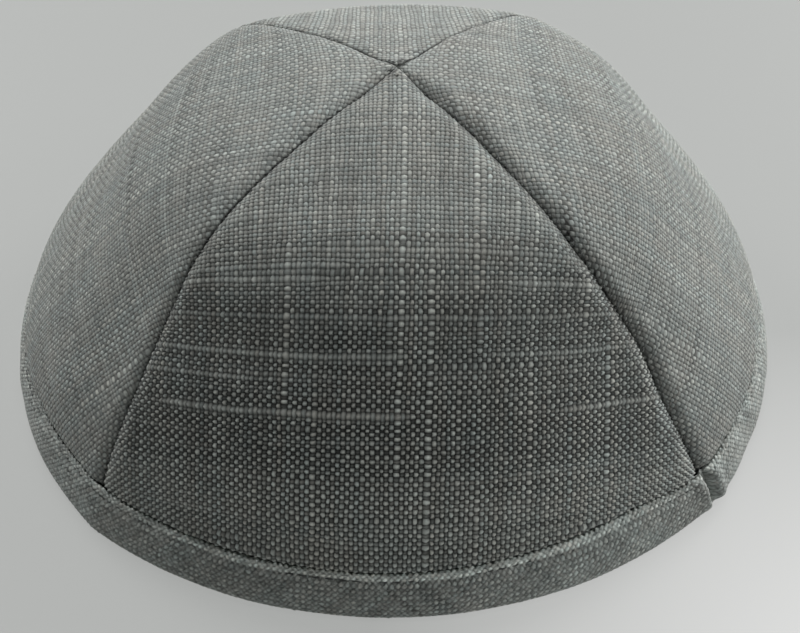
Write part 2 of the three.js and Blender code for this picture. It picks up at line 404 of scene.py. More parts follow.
class Cloth:
    """The yarns of a piece of plain weave, on a lattice of half pitches with yarns at its odd lines.

    A lift is how far the face rises where the warp, or the weft, is of double thickness: at the
    warp's tops, at the weft's tops, beside a top, and at the hole between four yarns.
    """

    SWELLS = Change(slow=0.1, own=0.07, spacing=9)
    TONES = Change(slow=0.17, own=0.14, spacing=24)
    HUES = Change(slow=0.35, own=0.2, spacing=40)
    SLUB_STRETCH = 60
    SLUB_HALF_LENGTHS = (3, 22)
    SLUB_SIZES = (0.25, 0.85)
    SLUB_END = 2
    PUSH_REACH = 7
    WARP_TOP_LIFTS = (0.12, -0.1)
    WEFT_TOP_LIFTS = (0.03, 0.28)
    BESIDE_LIFT = 0.14
    HOLE_LIFT = 0.07
    ROUGHNESS = 0.03
    THICK_FROM = 0.35
    THICK_SHADE = 0.28

    def __init__(self, weave: Weave, columns: Array, rows: Array, seed: int) -> None:
        """Draw every yarn's thickness, tone and hue.

        Args:
            weave: pitches and relief.
            columns: where the lattice's lines along the warp lie.
            rows: where its lines along the weft lie.
            seed: the seed of the random draws.
        """
        self.weave, self.columns, self.rows = weave, columns, rows
        self.random = np.random.default_rng(seed)
        warps, wefts = len(columns) // 2, len(rows) // 2
        self.warp_swell = self._swells(warps, rows)
        self.weft_swell = self._swells(wefts, columns)
        self.warp_tone = self._wander(warps, len(rows), self.TONES)
        self.weft_tone = self._wander(wefts, len(columns), self.TONES)
        self.sunk = smooth(rows, weave.even_until - weave.fading, weave.even_until + weave.fading)
        # painted shade on the sunken weft and a painted highlight on the warp's tops, where the weft
        # sinks
        self.weft_tone -= weave.weft_shade * self.sunk[1::2, None]
        self.warp_tone += weave.warp_light * self.sunk[None, :]
        # painted light: the lowest cloth is painted lighter
        foot = weave.foot_light * smooth(rows, *weave.foot)
        self.warp_tone += foot[None, :]
        self.weft_tone += foot[1::2, None]
        self.warp_hue = self._wander(warps, len(rows), self.HUES)
        self.weft_hue = self._wander(wefts, len(columns), self.HUES)

    def _wander(self, count: int, steps: int, change: Change) -> Array:
        """Seeded numbers for every yarn of one run: its own level, and a slow change along it."""
        knots = self.random.normal(0, change.slow, (count, steps // change.spacing + 2))
        just_before_last = knots.shape[1] - 1.001
        along = between_knots(knots, np.linspace(0, just_before_last, steps))
        return along + self.random.normal(0, change.own, (count, 1))

    def _swells(self, count: int, along: Array) -> Array:
        """How much thicker than usual every yarn of one run is, along its length."""
        swell = self._wander(count, len(along), self.SWELLS)
        length = along[-1] - along[0]
        for yarn in range(count):
            for _ in range(self.random.poisson(self.weave.slub_chance * length / self.SLUB_STRETCH)):
                middle = along[0] + self.random.uniform(0, length)
                half = self.random.uniform(*self.SLUB_HALF_LENGTHS)
                size = self.random.uniform(*self.SLUB_SIZES)
                swell[yarn] += size * np.exp(-(((along - middle) / half) ** 4))
        return swell

    def add_slub(self, slub: Slub) -> None:
        """Thicken a stretch of one yarn."""
        if slub.run is Run.WARP:
            swell, tone, lines, along = self.warp_swell, self.warp_tone, self.columns, self.rows
        else:
            swell, tone, lines, along = self.weft_swell, self.weft_tone, self.rows, self.columns
        yarn = int(np.abs(lines[1::2] - slub.across).argmin())
        ends = [smooth(along, k - self.SLUB_END, k + self.SLUB_END) for k in (slub.start, slub.end)]
        here = ends[0] * (1 - ends[1])
        swell[yarn] = np.maximum(swell[yarn], slub.swell * here)
        tone[yarn] += slub.tone * here

    @staticmethod
    def _spread(values: Array) -> Array:
        """Values of yarns, on a lattice where the lines between two yarns take their mean."""
        padded = np.pad(values, ((1, 1), (0, 0)), mode="edge")
        lattice = np.empty((2 * len(values) + 1, values.shape[1]))
        lattice[1::2] = values
        lattice[0::2] = (padded[:-1] + padded[1:]) / 2
        return lattice

    def _shift(self, swell: Array) -> Array:
        """How far thick yarns push the lattice's lines aside."""
        grown = self.weave.warp_pitch * self.weave.widening * swell
        edges = np.vstack([np.zeros((1, swell.shape[1])), np.cumsum(grown, 0)])
        reach = self.PUSH_REACH
        padded = np.pad(edges, ((reach, reach), (0, 0)), mode="edge")
        mean = sum(padded[k : k + len(edges)] for k in range(2 * reach + 1)) / (2 * reach + 1)
        local = edges - mean
        lattice = np.empty((2 * len(swell) + 1, swell.shape[1]))
        lattice[0::2] = local
        lattice[1::2] = (local[:-1] + local[1:]) / 2
        return lattice

    def layout(self) -> tuple[Array, Array]:
        """The lattice's places across and along."""
        across = self.columns[:, None] + self._shift(self.warp_swell)
        along = self.rows[None, :] + self._shift(self.weft_swell).T
        shake = self.random.normal(0, self.weave.unevenness, (2, *across.shape))
        return across + shake[0], along + shake[1]

    def _lines(self) -> tuple[Array, Array]:
        """The lattice's column and row numbers."""
        return np.arange(len(self.columns))[:, None], np.arange(len(self.rows))[None, :]

    def relief(self) -> Array:
        """How high the cloth stands at each point of the lattice, in millimetres."""
        weave = self.weave
        warp, weft = self._spread(self.warp_swell), self._spread(self.weft_swell).T
        column, row = self._lines()
        on_warp, on_weft = column % 2 == 1, row % 2 == 1
        over = (column // 2 + row // 2) % 2 == 0
        weft_over = weave.weft_over - weave.weft_sink * self.sunk[None, :]
        warp_top = weave.warp_over + self.WARP_TOP_LIFTS[0] * warp + self.WARP_TOP_LIFTS[1] * weft
        weft_top = weft_over + self.WEFT_TOP_LIFTS[0] * warp + self.WEFT_TOP_LIFTS[1] * weft
        beside = weave.between + self.BESIDE_LIFT * np.where(on_warp, warp, weft)
        height = np.where(on_warp & on_weft, np.where(over, warp_top, weft_top), beside)
        height = np.where(on_warp | on_weft, height, weave.hole + self.HOLE_LIFT * (warp + weft))
        height = height * (1 + weave.deepening * self.sunk[None, :])
        return height + self.random.normal(0, self.ROUGHNESS, height.shape)

    def attribute(self) -> Array:
        """Hue and tone of both runs at each point, as numbers around a half, with painted shade in the
        gaps and on the warp beside thick wefts.
        """
        hues = (self._spread(self.warp_hue), self._spread(self.weft_hue).T)
        tones = (self._spread(self.warp_tone), self._spread(self.weft_tone).T)
        numbers = 0.5 + 0.5 * np.stack([*hues, *tones], -1)
        column, row = self._lines()
        # painted shade in the gaps between the yarns where the weft sinks, painted lighter where
        # gap_shade is negative
        gap = (column % 2 == 0) | (row % 2 == 0)
        numbers[..., 2:] -= (self.weave.gap_shade * self.sunk[None, :] * gap)[..., None]
        # painted shade on the warp where it dips beside a thick weft
        thick = np.clip(self._spread(self.weft_swell).T - self.THICK_FROM, 0, 1)
        numbers[..., 2] -= self.THICK_SHADE * thick
        return np.clip(numbers + self.random.normal(0, self.weave.mottle, numbers.shape), 0, 1)


@dataclass(frozen=True)
class EdgeRoll:
    """How a gore's cloth rolls in at its seam, turns, and runs back under itself as an allowance.

    The shoulder is the stretch beside the seam that slopes down, up to its turn in degrees. Spring is
    how far past level the allowance rises, and reach is how much cloth is worked out.
    """

    shoulder: float
    shoulder_turn: float
    bend_radius: float = 0.62
    overlap: float = 0.03
    spring: float = 4.0
    reach: float = 12.0

    SAMPLES = 601

    def stations(self) -> tuple[Array, Array, Array, Array]:
        """Lengths along the cloth, with the distance from the seam, the depth and the heading there."""
        length = np.linspace(0, self.reach, self.SAMPLES)
        turn = math.radians(self.shoulder_turn) * smooth(length, 0, self.shoulder)
        bend = np.clip((length - self.shoulder) / self.bend_radius, 0, None)
        heading = np.minimum(turn + bend, math.pi + math.radians(self.spring))
        middle = (heading[1:] + heading[:-1]) / 2
        toward, depth = (running_total(wave(middle) * length[1]) for wave in (np.cos, np.sin))
        return length, toward.max() - self.overlap - toward, depth, heading


ROLLS = (
    EdgeRoll(shoulder=3.4, shoulder_turn=25),
    EdgeRoll(shoulder=4.2, shoulder_turn=37, bend_radius=0.95),
    EdgeRoll(shoulder=2.2, shoulder_turn=13),
    EdgeRoll(shoulder=2.4, shoulder_turn=17),
)


class GorePattern:
    """One gore's flat cloth, and where each of its points lies on the dome.

    The cloth's face is flattened by its seams and puckered along them, its allowance is narrower
    towards the crown, and it tucks in under the binding's upper edge. DITCH_TURNS are the headings, in
    radians, between which the cloth turns down into its seam and is darkened with painted shade.
    """

    SAMPLES = 900
    EVEN_SAMPLES = 600
    LEAST_SLOPE = 0.2
    LEAST_SWING = 0.001
    FOOT = 5.0
    FOOT_MARGIN = 0.3
    TIP = 0.2
    ALLOWANCE = 4.2
    CROWN_ALLOWANCE = 1.6
    ALLOWANCE_GROWTH = 0.35
    DITCH_TURNS = (0.2, 1.0)
    LOW_DROOP = 0.75
    DROOP_EASES = (40, 90)
    SEAM_FLATTENING = 0.6
    FLAT_WIDTH = 1.3
    FULL_ROLL_WIDTH = 6.0
    LEAST_ROLL = 0.12
    PUCKER_KNOTS = 64
    PUCKER_PITCH = 2.6
    PUCKER_DEPTH = 0.07
    PUCKER_WIDTH = 5.0
    TUCK_DEPTH = 1.3
    TUCK_BELOW = 0.1
    TUCK_EASE = 1.1

    def __init__(self, dome: Dome, index: int, seed: int, droop: float) -> None:
        """Measure the gore down its middle.

        Args:
            dome: the surface that the gore lies on.
            index: which gore it is.
            seed: the seed of its puckers.
            droop: how much its upper wefts droop at their ends, as a share of a flat cone's droop.
        """
        self.dome, self.index, self.droop = dome, index, droop
        self.middle = 90.0 * index
        self.levels = np.linspace(dome.crown, dome.level_at(np.array(self.FOOT - 1)), self.SAMPLES)
        still = np.full_like(self.levels, self.middle)
        points = dome.point(index, still, self.levels, np.zeros_like(self.levels))
        self.down = lengths_along(points)
        self.reach = self.down[-1]
        radius = dome.read(dome.radii, self.levels)
        slope = np.clip(np.gradient(radius, self.down), self.LEAST_SLOPE, None)
        self.swing = self._smoothed(radius / slope)
        height = dome.read(dome.heights, self.levels)
        self.edges = [
            dome.arc(self.levels, np.radians(dome.seam_azimuth(index + k, height) - self.middle))
            for k in (0, 1)
        ]
        self.leans = [1 / np.hypot(1, np.gradient(edge, self.down)) for edge in self.edges]
        self.rolls = [ROLLS[(index + k) % len(ROLLS)].stations() for k in (0, 1)]
        self.pucker = np.random.default_rng(seed).normal(0, 1, (2, self.PUCKER_KNOTS))

    def _smoothed(self, values: Array, window: float = 9.0) -> Array:
        """A table down the middle, smoothed over a window."""
        even = np.linspace(0, self.reach, self.EVEN_SAMPLES)
        table = np.interp(even, self.down, values)
        count = int(window / even[1]) | 1
        padded = np.concatenate([2 * table[0] - table[count:0:-1], table, np.full(count, table[-1])])
        mean = np.convolve(padded, np.ones(count) / count, mode="same")[count:-count]
        return np.interp(self.down, even, mean)

    def at(self, table: Array, down: Array) -> Array:
        """Read one of the tables at a length down the middle."""
        return np.interp(down, self.down, table)

    def lay(self, across: Array, along: Array, relief: Array) -> tuple[Array, Array, Array]:
        """Lay points of the flat cloth on the dome.

        Args:
            across: millimetres from the grain line, towards growing azimuths.
            along: millimetres down the grain line from the crown.
            relief: how far each point stands out of the cloth's face.

        Returns:
            The points in millimetres, which of them belong to the cut piece, and from 0 to 1 how far
            each has turned down into a seam, which sets how much painted shade it takes.
        """
        dome = self.dome
        swing = self.at(self.swing, along)
        root = np.hypot(across, swing)
        ease = self.droop + (self.LOW_DROOP - self.droop) * smooth(along, *self.DROOP_EASES)
        down = along + ease * (root - swing)
        arc = np.arctan2(across, np.maximum(swing, self.LEAST_SWING)) * root
        width = np.minimum(self.at(self.edges[1], down), -self.at(self.edges[0], down))
        narrow = np.clip(width / self.FULL_ROLL_WIDTH, self.LEAST_ROLL, 1)
        inside = np.minimum(self.at(self.edges[1], down) - arc, arc - self.at(self.edges[0], down))
        relief = relief * (1 - self.SEAM_FLATTENING * bell(inside, self.FLAT_WIDTH))
        depth = -relief
        keep = (down > self.TIP) & (down < self.reach - self.FOOT_MARGIN) & (along > 0)
        seam_painted_shade = np.zeros_like(arc)
        stitches = np.clip(down / self.PUCKER_PITCH, 0, self.PUCKER_KNOTS - 2)
        for side, sign in ((0, -1.0), (1, 1.0)):
            length, beside, sunk, heading = self.rolls[side]
            edge, lean = self.at(self.edges[side], down), self.at(self.leans[side], down)
            inside = sign * (edge - arc) * lean
            travelled = (beside[0] * narrow - inside) / narrow
            rolled = (travelled > 0) & (sign * arc > 0)
            turn = np.interp(travelled, length, heading)
            away = np.interp(travelled, length, beside) * narrow - relief * np.sin(turn)
            deep = np.interp(travelled, length, sunk) * narrow - relief * np.cos(turn)
            arc = np.where(rolled, edge - sign * away / lean, arc)
            depth = np.where(rolled, deep, depth)
            seam_painted_shade = np.where(sign * arc > 0, smooth(turn, *self.DITCH_TURNS), seam_painted_shade)
            limit = np.minimum(self.ALLOWANCE, self.CROWN_ALLOWANCE + self.ALLOWANCE_GROWTH * width)
            keep &= ~rolled | (inside > -limit)
            pucker = self.PUCKER_DEPTH * between_knots(self.pucker[side], stitches)
            depth = depth + pucker * bell(np.maximum(inside, 0), self.PUCKER_WIDTH)
        level = np.interp(down, self.down, self.levels)
        azimuth = self.middle + np.degrees(dome.turn_at(level, arc))
        height = dome.read(dome.heights, level)
        ledge = binding_top(azimuth) - self.TUCK_BELOW
        clear = smooth(height, 0, 1) * smooth(height - ledge, 0, self.TUCK_EASE)
        depth = depth + self.TUCK_DEPTH * (1 - clear)
        keep &= height > self.FOOT
        return dome.point(self.index, azimuth, level, depth), keep, seam_painted_shade


def clear_selection() -> None:
    """Leave edit mode and select nothing."""
    if bpy.context.mode != "OBJECT":
        bpy.ops.object.mode_set(mode="OBJECT")
    bpy.ops.object.select_all(action="DESELECT")


def make_active(piece: bpy.types.Object) -> None:
    """Select one object and nothing else."""
    clear_selection()
    piece.select_set(True)
    bpy.context.view_layer.objects.active = piece


def lattice_sheet(name: str, columns: int, rows: int) -> tuple[bpy.types.Object, Array, Array]:
    """Make a flat grid with a face for each cell of a lattice.

    Args:
        name: the piece's name.
        columns: how many cells it is across.
        rows: how many cells it is down.

    Returns:
        The grid, and each vertex's column and row, rows counted downwards so that faces look outwards.
    """
    clear_selection()
    bpy.ops.mesh.primitive_grid_add(x_subdivisions=columns, y_subdivisions=rows, size=1)
    piece = bpy.context.active_object
    piece.name = piece.data.name = name
    flat = np.empty(3 * len(piece.data.vertices), np.float32)
    piece.data.vertices.foreach_get("co", flat)
    across, up, _ = flat.reshape(-1, 3).T
    column = np.rint((across + 0.5) * columns).astype(int)
    return piece, column, np.rint((0.5 - up) * rows).astype(int)


def move_points(piece: bpy.types.Object, points: Array) -> None:
    """Move a mesh's vertices to points in millimetres."""
    piece.data.vertices.foreach_set("co", (points * MM).astype(np.float32).ravel())
    piece.data.update()


def write_yarns(piece: bpy.types.Object, warp_half: Array, weft_half: Array, values: Array) -> None:
    """Give a cloth its yarn coordinates, and its yarns' hues and tones.

    Args:
        piece: the cloth.
        warp_half: each vertex's column on the lattice of half pitches.
        weft_half: each vertex's row on it.
        values: each vertex's four numbers from Cloth.attribute.
    """
    places = np.stack([warp_half, weft_half], -1) / 2 - 0.5
    mesh = piece.data
    corner = np.empty(len(mesh.loops), np.int32)
    mesh.loops.foreach_get("vertex_index", corner)
    layer = mesh.uv_layers[0] if mesh.uv_layers else mesh.uv_layers.new(name=YARN_MAP)
    layer.name = YARN_MAP
    layer.data.foreach_set("uv", places[corner].astype(np.float32).ravel())
    attribute = mesh.attributes.new(YARN_ATTRIBUTE, "FLOAT_COLOR", "POINT")
    attribute.data.foreach_set("color", values.astype(np.float32).ravel())


def remove_points(piece: bpy.types.Object, keep: Array) -> None:
    """Delete the vertices that aren't kept."""
    make_active(piece)
    bpy.ops.object.mode_set(mode="EDIT")
    bpy.ops.mesh.select_mode(type="VERT")
    bpy.ops.mesh.select_all(action="DESELECT")
    bpy.ops.object.mode_set(mode="OBJECT")
    piece.data.vertices.foreach_set("select", ~keep)
    bpy.ops.object.mode_set(mode="EDIT")
    bpy.ops.mesh.delete(type="VERT")
    bpy.ops.object.mode_set(mode="OBJECT")


def give_thickness(piece: bpy.types.Object, thickness: float) -> None:
    """Make a sheet a closed cloth of a thickness in millimetres, behind its face."""
    make_active(piece)
    wall = piece.modifiers.new("wall", "SOLIDIFY")
    wall.thickness = thickness * MM
    wall.offset = -1
    wall.use_rim = True
    bpy.ops.object.modifier_apply(modifier=wall.name)


def finish_piece(piece: bpy.types.Object, material: bpy.types.Material) -> None:
    """Shade a piece smooth, dress it, and fix it to the body."""
    make_active(piece)
    bpy.ops.object.shade_smooth()
    piece.data.materials.clear()
    piece.data.materials.append(material)
    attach(piece, "root")
    log.info("%s: %d faces", piece.name, len(piece.data.polygons))


@dataclass(frozen=True)
class Lie:
    """How a gore's yarns lie: their turn at its middle, and how it and their spacing change over it.

    The turn is in degrees and the others are in thousandths per millimetre: sweep bends the warp
    sideways down the gore, bow bends the weft down at its sides, fan tilts it, and spread and crowd
    change the two spacings.
    """

    turn: float = 0.0
    sweep: float = 0.0
    bow: float = 0.0
    fan: float = 0.0
    spread: float = 0.0
    crowd: float = 0.0
    middle: float = 50.0

    FAN_ACROSS = 60
    FAN_DOWN = (-45, 55)
    SPREAD_LIMIT = 25
    BOW_LIMIT = 30
    DOWN_LIMIT = 40

    @staticmethod
    def _eased_square(values: Array, limit: float) -> Array:
        """Squares that go on straight past a limit."""
        inside = np.clip(values, -limit, limit)
        return inside * (2 * values - inside)

    def place(self, across: Array, along: Array) -> tuple[Array, Array]:
        """Where the yarns' points lie on the gore, across from its middle line and down it."""
        turn, down = math.radians(self.turn), along - self.middle
        x = across * math.cos(turn) - down * math.sin(turn)
        y = across * math.sin(turn) + down * math.cos(turn)
        downwards = self._eased_square(down, self.DOWN_LIMIT)
        bow = self.bow * self._eased_square(across, self.BOW_LIMIT)
        tilt = np.clip(across, -self.FAN_ACROSS, self.FAN_ACROSS) * np.clip(down, *self.FAN_DOWN)
        spread = self.spread * self._eased_square(across, self.SPREAD_LIMIT)
        x = x + MM * (spread + self.sweep * downwards)
        y = y + MM * (self.fan * tilt + self.crowd * downwards + bow)
        return x, y + self.middle


@dataclass
class Gore:
    """One gore of the cap, woven and laid over its part of the dome."""

    name: str
    node: str
    index: int
    seed: int
    lie: Lie = Lie()
    half_width: float = 80.0
    thickness: float = 0.45
    droop: float = 1.0
    slubs: tuple[Slub, ...] = ()
    weave: Weave = Weave()

    PAST_GORE = 16.0
    SEAM_SHADE = 0.36
    RELIEF_SHARE = 1.1

    def build(self, dome: Dome, material: bpy.types.Material) -> bpy.types.Object:
        """Weave the gore and lay it.

        Args:
            dome: the surface it lies on.
            material: its finish.

        Returns:
            The finished piece.
        """
        pattern = GorePattern(dome, self.index, self.seed + 1, self.droop)
        columns = self.weave.columns(4 * int(self.half_width / self.weave.warp_pitch / 2))
        rows = self.weave.rows(-self.PAST_GORE, pattern.reach + self.PAST_GORE)
        cloth = Cloth(self.weave, columns, rows, self.seed)
        for slub in self.slubs:
            cloth.add_slub(slub)
        piece, column, row = lattice_sheet(self.name, len(columns) - 1, len(rows) - 1)
        pick = column, row
        x, y = self.lie.place(*cloth.layout())
        points, keep, seam_painted_shade = pattern.lay(x[pick], y[pick], cloth.relief()[pick])
        keep &= self._whole(keep, column, row)
        move_points(piece, points)
        yarns = cloth.attribute()[pick]
        # painted shade: the cloth's tone is darkened where it turns down into a seam
        yarns[:, 2:] -= self.SEAM_SHADE * seam_painted_shade[:, None]
        write_yarns(piece, column, row, yarns)
        remove_points(piece, keep)
        area = sum(face.area for face in piece.data.polygons) / self.RELIEF_SHARE
        give_thickness(piece, self.thickness)
        finish_piece(piece, material)
        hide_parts(self.node)
        width, length = np.ptp(x[pick][keep]), np.ptp(y[pick][keep])
        log.info("%s: cut %.1f by %.1f mm, %.0f mm2", self.name, width, length, area / MM / MM)
        return piece

    @staticmethod
    def _whole(keep: Array, column: Array, row: Array) -> Array:
        """Which kept points are part of a whole kept cell, so that no loose edge is left."""
        grid = np.zeros((column.max() + 2, row.max() + 2), bool)
        grid[column, row] = keep
        cell = grid[:-1, :-1] & grid[1:, :-1] & grid[:-1, 1:] & grid[1:, 1:]
        part = np.zeros_like(grid)
        for corners in (part[:-1, :-1], part[1:, :-1], part[:-1, 1:], part[1:, 1:]):
            corners |= cell
        return part[column, row]


@dataclass(frozen=True)
class BindingStation:
    """A corner of the binding's section, by its inset from the gores' face and its height."""

    inset: float
    height: float
    seen: bool = True


VALLEY_BELOW = 1.15
BINDING_SECTION = (
    BindingStation(1.2, 8.5),
    BindingStation(0.95, 9.15),
    BindingStation(0.4, 9.4),
    BindingStation(-0.1, 8.9),
    BindingStation(-0.38, 7.6),
    BindingStation(-0.45, 5.6),
    BindingStation(-0.4, 3.3),
    BindingStation(-0.15, 1.3),
    BindingStation(0.4, 0.35),
    BindingStation(1.3, 0.0),
    BindingStation(2.9, 0.0),
    BindingStation(3.6, 0.35),
    BindingStation(4.0, 1.3),
    BindingStation(4.0, 5.0),
    BindingStation(3.95, 8.5),
    BindingStation(3.65, 9.3),
    BindingStation(3.25, 9.2),
    BindingStation(3.1, 8.4, seen=False),
    BindingStation(3.05, 2.5, seen=False),
    BindingStation(1.25, 2.5, seen=False),
)


@dataclass(frozen=True)
class Crease:
    """A fold across the binding near its join, along the rim from the join, and how far out it stands."""

    along: float
    width: float
    out: float


@dataclass
class Binding:
    """The bias strip folded round the rim, with its two ends sewn together.

    ridge_light is a painted highlight on its upper edge: what the edge's tone gains in front,
    everywhere, and for each millimetre that a point is shaken out of place. FIRM is the share of the
    weave's relief that shows at its foot, and what is added towards its upper edge. WAVES are its
    unevennesses round the rim: how many swellings and dents each has, and how far they stand out.
    """

    name: str = "cloth_binding"
    node: str = "rim_binding"
    columns: int = 880
    seed: int = 71
    hidden_step: float = 1.1
    shake: float = 0.08
    ridge_light: tuple[float, float, float] = (0.75, -0.06, 2.2)
    valley_depth: float = 0.26
    valley_width: float = 0.5
    crease_slant: float = 1.6
    creases: tuple[Crease, ...] = (
        Crease(along=0, width=0.9, out=-2.3),
        Crease(along=-2.1, width=1.4, out=0.6),
        Crease(along=2.3, width=1.7, out=0.8),
        Crease(along=8, width=6, out=0.4),
    )
    weave: Weave = Weave(weft_shade=0.2, warp_light=0.1, deepening=0.5, gap_shade=0.08, mottle=0.1)

    FIRM = (0.25, 0.5)
    FIRM_HEIGHTS = (4.0, 8.6)
    RIDGE_HEIGHTS = (7.9, 8.6)
    SHAKEN_HEIGHTS = (0.5, 2.0)
    FRONT_TURN = 42
    RIM_SAMPLES = 721
    SECTION_SAMPLES = 4001
    SEWN_WITHIN = 0.002
    OUTER_INSET = 1.15
    OUTER_EASE = 1.45
    OUTER_HEIGHTS = (-0.5, 2.0)
    WAVES = ((90, 0.12), (30, 0.1))

    def build(self, dome: Dome, material: bpy.types.Material) -> bpy.types.Object:
        """Fold the strip round the rim.

        Args:
            dome: the cap that it binds.
            material: its finish.

        Returns:
            The finished piece.
        """
        insets, heights, bias = self._section(dome)
        rows = len(insets)
        piece, column, row = lattice_sheet(self.name, self.columns, rows)
        around = row % rows
        step, height = bias[around], heights[around]
        shifted = column + 0.5 * (step % 2)
        random = np.random.default_rng(self.seed + 2)
        shake = random.normal(0, self.shake, (2, self.columns, rows))[:, column % self.columns, around]
        azimuth = JOIN_AZIMUTH + (shifted + shake[0] / self.step(dome)) * 360 / self.columns
        warp_half = column + (step + step % 2) // 2
        weft_half = column + (step % 2 - step) // 2 + rows
        seen = (step > 0) & (column % self.columns > 0)
        lines = self.weave.columns(int(max(warp_half.max(), weft_half.max()) + 4) // 2)
        cloth = Cloth(self.weave, lines, lines, self.seed)
        firm = self.FIRM[0] + self.FIRM[1] * smooth(height, *self.FIRM_HEIGHTS)
        relief = np.where(seen, firm * cloth.relief()[warp_half, weft_half], 0)
        points = self._points(dome, azimuth, insets, heights, around, relief)
        points[:, 2] = np.maximum(points[:, 2] + shake[1] * smooth(height, *self.SHAKEN_HEIGHTS), 0)
        move_points(piece, points)
        yarns = cloth.attribute()[warp_half, weft_half]
        # painted highlight on the binding's upper edge, stronger in front and changing with each point's
        # shake
        in_front, everywhere, uneven = self.ridge_light
        front = bell(turn_between(azimuth, 0), self.FRONT_TURN)
        light = everywhere + in_front * front + uneven * shake[1]
        yarns[:, 2:] += (smooth(height, *self.RIDGE_HEIGHTS) * light)[:, None]
        write_yarns(piece, warp_half, weft_half, yarns)
        self._close(piece)
        finish_piece(piece, material)
        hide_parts(self.node)
        length, width = self._rim_length(dome), self._strip_width(insets, heights)
        log.info("%s: cut %.1f by %.1f mm", self.name, width, length)
        return piece

    def step(self, dome: Dome) -> float:
        """The length of a column of the strip's lattice."""
        return self._rim_length(dome) / self.columns

    def _rim_length(self, dome: Dome) -> float:
        """The length of the strip, round the rim halfway up."""
        azimuth = np.linspace(0, 360, self.RIM_SAMPLES)
        line = dome.rim_point(azimuth, np.zeros_like(azimuth), np.full_like(azimuth, BINDING_TOP / 2))
        return float(np.linalg.norm(np.diff(line, axis=0), axis=1).sum())

    @staticmethod
    def _strip_width(insets: Array, heights: Array) -> float:
        """The width of the folded strip: half the way round its closed section."""
        around = np.hypot(np.roll(insets, 1) - insets, np.roll(heights, 1) - heights)
        return float(around.sum()) / 2

    def _section(self, dome: Dome) -> tuple[Array, Array, Array]:
        """The section's points: yarn steps apart where it is seen, and further apart inside.

        Returns:
            Their insets, heights and bias steps, which are -1 inside the channel.
        """
        fine = np.linspace(0, len(BINDING_SECTION), self.SECTION_SAMPLES)
        padded = [BINDING_SECTION[-1], *BINDING_SECTION, *BINDING_SECTION[:2]]
        inset = curve_through([s.inset for s in padded], fine + 1)
        height = curve_through([s.height for s in padded], fine + 1)
        length = running_total(np.hypot(np.diff(inset), np.diff(height)))
        last_seen = max(k for k, s in enumerate(BINDING_SECTION) if s.seen)
        seen_length = float(np.interp(last_seen + 0.5, fine, length))
        seen = np.arange(0, seen_length, self.step(dome) / 2)
        hidden = np.linspace(seen_length, length[-1], int((length[-1] - seen_length) / self.hidden_step))
        stations = np.concatenate([seen, hidden[:-1]])
        bias = np.concatenate([np.arange(len(seen)), np.full(len(hidden) - 1, -1)])
        return np.interp(stations, length, inset), np.interp(stations, length, height), bias

    def _points(
        self, dome: Dome, azimuth: Array, insets: Array, heights: Array, row: Array, relief: Array
    ) -> Array:
        """Where the strip's points lie round the rim.

        Args:
            dome: the cap that it binds.
            azimuth: each point's azimuth.
            insets: the section's insets.
            heights: the section's heights.
            row: each point's place in the section.
            relief: how far each point stands out of the cloth's face.

        Returns:
            The points in millimetres.
        """
        ahead = np.roll(insets, -1) - np.roll(insets, 1)
        rise = np.roll(heights, -1) - np.roll(heights, 1)
        size = np.hypot(ahead, rise)
        face_in, face_up = (rise / size)[row], (-ahead / size)[row]
        share = heights[row] / BINDING_TOP
        top = binding_top(azimuth)
        along = np.radians(turn_between(azimuth, JOIN_AZIMUTH)) * SECTIONS[0].radius
        along = along - self.crease_slant * (1 - share)
        out = sum(c.out * bell(along - c.along, c.width) for c in self.creases)
        outside = np.clip((self.OUTER_INSET - insets[row]) / self.OUTER_EASE, 0, 1)
        outside = outside * smooth(heights[row], *self.OUTER_HEIGHTS)
        below = BINDING_TOP - VALLEY_BELOW - heights[row]
        out = out - self.valley_depth * bell(below, self.valley_width)
        random = np.random.default_rng(self.seed + 1)
        wave = sum(size * self._wave(random, azimuth, knots) for knots, size in self.WAVES)
        height = heights[row] + (top - BINDING_TOP) * share**2 + relief * face_up
        inset = insets[row] - (out + wave) * outside + relief * face_in
        return dome.rim_point(azimuth, inset, np.maximum(height, 0.0))

    @staticmethod
    def _wave(random: np.random.Generator, azimuth: Array, knots: int) -> Array:
        """A seeded unevenness round the rim, about 1 high."""
        values = random.normal(0, 1, knots)
        place = (azimuth % 360) / 360 * knots
        low = place.astype(int) % knots
        share = smooth(place - place.astype(int), 0, 1)
        return values[low] * (1 - share) + values[(low + 1) % knots] * share

    def _close(self, piece: bpy.types.Object) -> None:
        """Sew the strip's edges together, and turn its faces outwards."""
        make_active(piece)
        bpy.ops.object.mode_set(mode="EDIT")
        bpy.ops.mesh.select_all(action="SELECT")
        bpy.ops.mesh.remove_doubles(threshold=self.SEWN_WITHIN * MM)
        bpy.ops.mesh.normals_make_consistent(inside=False)
        bpy.ops.object.mode_set(mode="OBJECT")


